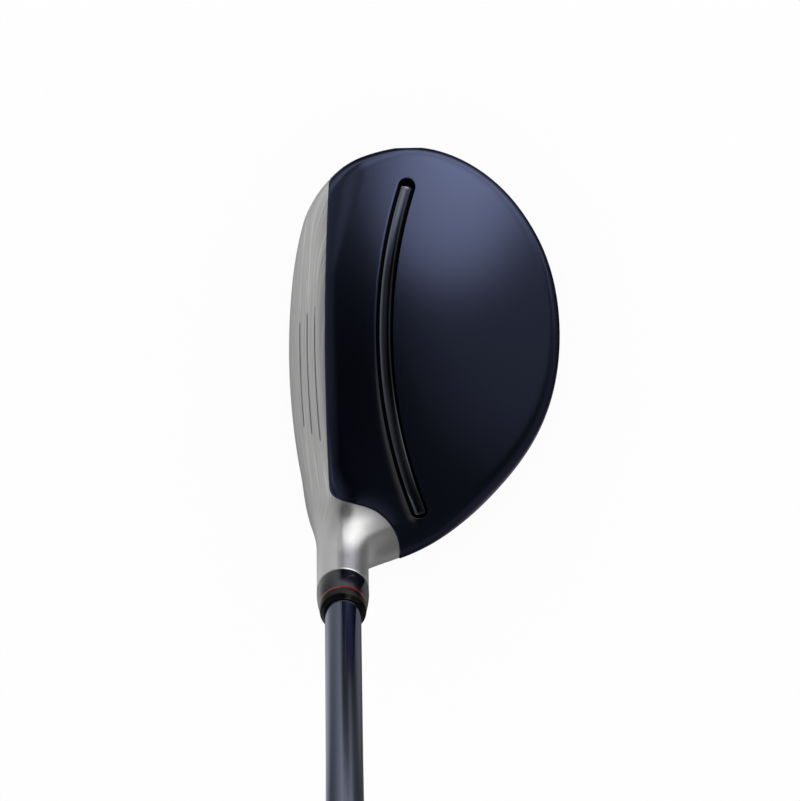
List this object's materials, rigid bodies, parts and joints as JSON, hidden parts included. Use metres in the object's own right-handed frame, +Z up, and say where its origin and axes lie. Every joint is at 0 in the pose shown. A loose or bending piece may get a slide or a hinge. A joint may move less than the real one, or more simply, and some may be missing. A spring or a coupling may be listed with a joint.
{
  "type": "hybrid golf club",
  "caption": "Right-handed hybrid golf club: hollow steel head with a painted, slotted crown and lofted face, bonded ferrule, tapered shaft and rubber grip.",
  "frame": {"origin": "middle of the flat rest patch under the sole, on the ground, with the club in its address position", "axes": "+Z up from the ground; the face looks towards -X; the toe is at +Y and the heel, hosel and player are at -Y; the shaft leans 59 degrees above the ground in a plane parallel to YZ"},
  "size_m": [0.0728, 0.625, 0.8825],
  "materials": {
    "body_steel": "satin, bead blasted",
    "face_steel": "brushed from heel to toe",
    "crown_paint": "satin dark navy paint",
    "slot_gloss": "gloss",
    "weight_metal": "turned",
    "plug_rubber": "matte",
    "brass": "turned",
    "epoxy": "cured resin",
    "ferrule_black": "polished",
    "ferrule_red": "polished",
    "ferrule_end": "polished, bevelled",
    "shaft_paint": "clear-coated dark paint",
    "tape": "paper tape",
    "grip_rubber": "moulded texture",
    "cap_rubber": "smooth moulded"
  },
  "bodies": {
    "root": {"head_body": "body_steel", "face_plate": "face_steel", "crown_plate": "crown_paint", "crown_slot_bead": "slot_gloss", "weight_screw": "weight_metal", "bore_plug": "plug_rubber", "tip_weight": "brass", "hosel_bond": "epoxy", "ferrule_skirt": "ferrule_black", "ferrule_trim_ring": "ferrule_red", "ferrule_end_ring": "ferrule_end", "shaft": "shaft_paint", "grip_tape": "tape", "grip": "grip_rubber", "grip_cap": "cap_rubber"}
  },
  "joints": []
}
